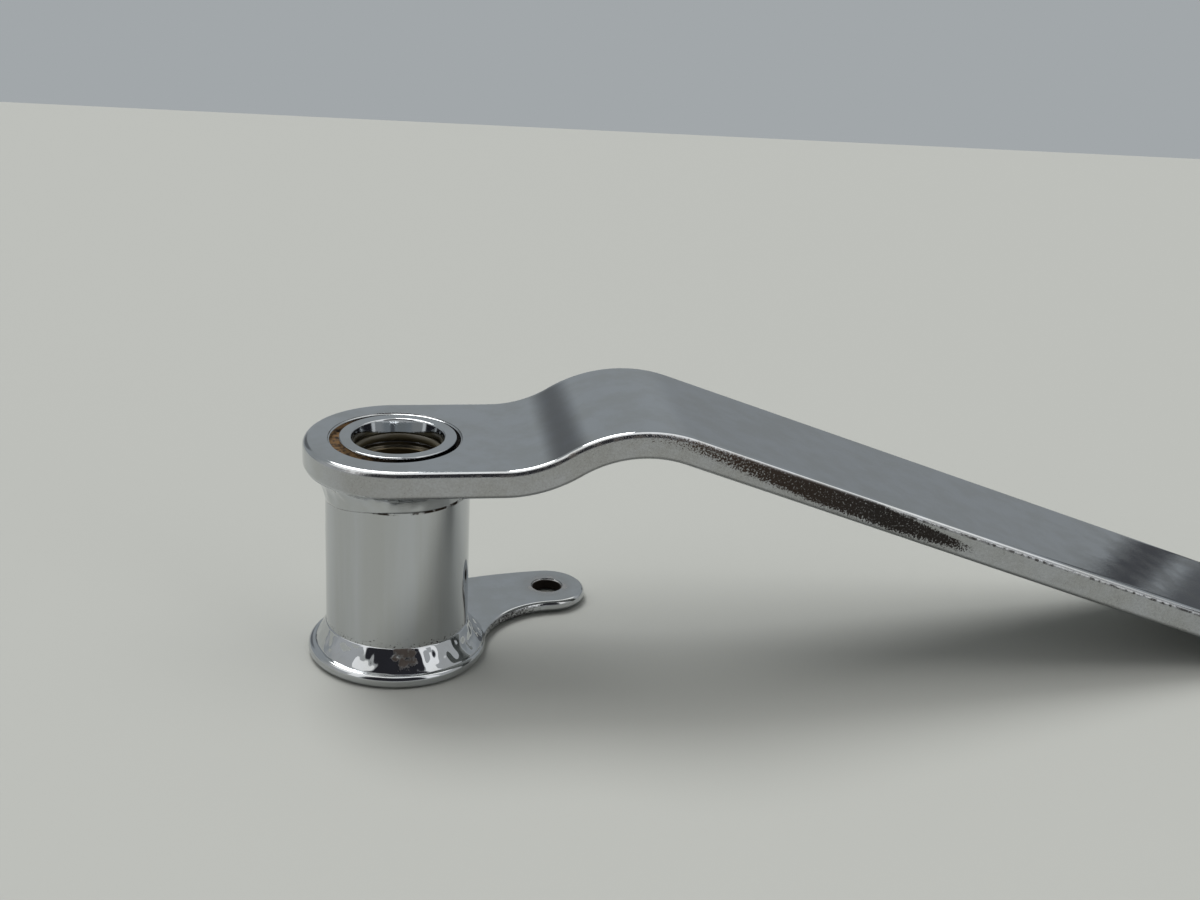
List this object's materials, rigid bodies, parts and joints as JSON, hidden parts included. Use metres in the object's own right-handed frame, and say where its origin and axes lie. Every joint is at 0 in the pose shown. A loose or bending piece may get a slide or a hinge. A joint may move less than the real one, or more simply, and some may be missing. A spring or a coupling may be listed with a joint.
{
  "type": "brake pedal",
  "caption": "Cranked flat-bar foot pedal welded to a bushed pivot tube, with a linkage tab and a ribbed rubber foot pad.",
  "frame": {"origin": "on the pivot axis, at the underside of the linkage tab, on which the pedal lies", "axes": "+Z along the pivot axis from the linkage tab to the arm, +X along the arm towards the foot pad"},
  "size_m": [0.306, 0.0646, 0.0601],
  "materials": {
    "arm_chrome": "worn chrome plate, pitted along the edge",
    "tube_chrome": "chrome plate, turned",
    "tab_chrome": "worn chrome plate",
    "weld": "rough weld under chrome, with brown stains",
    "bush_bronze": "greasy bearing bronze",
    "seal_rubber": "greasy rubber",
    "pad_rubber": "matt moulded rubber"
  },
  "bodies": {
    "root": {"pedal_arm": "arm_chrome", "pivot_tube": "tube_chrome", "linkage_tab": "tab_chrome", "upper_weld": "weld", "lower_weld": "weld", "upper_bush": "bush_bronze", "lower_bush": "bush_bronze", "upper_seal": "seal_rubber", "lower_seal": "seal_rubber", "foot_plate": "tab_chrome", "foot_plate_weld": "weld", "foot_pad": "pad_rubber"}
  },
  "joints": []
}
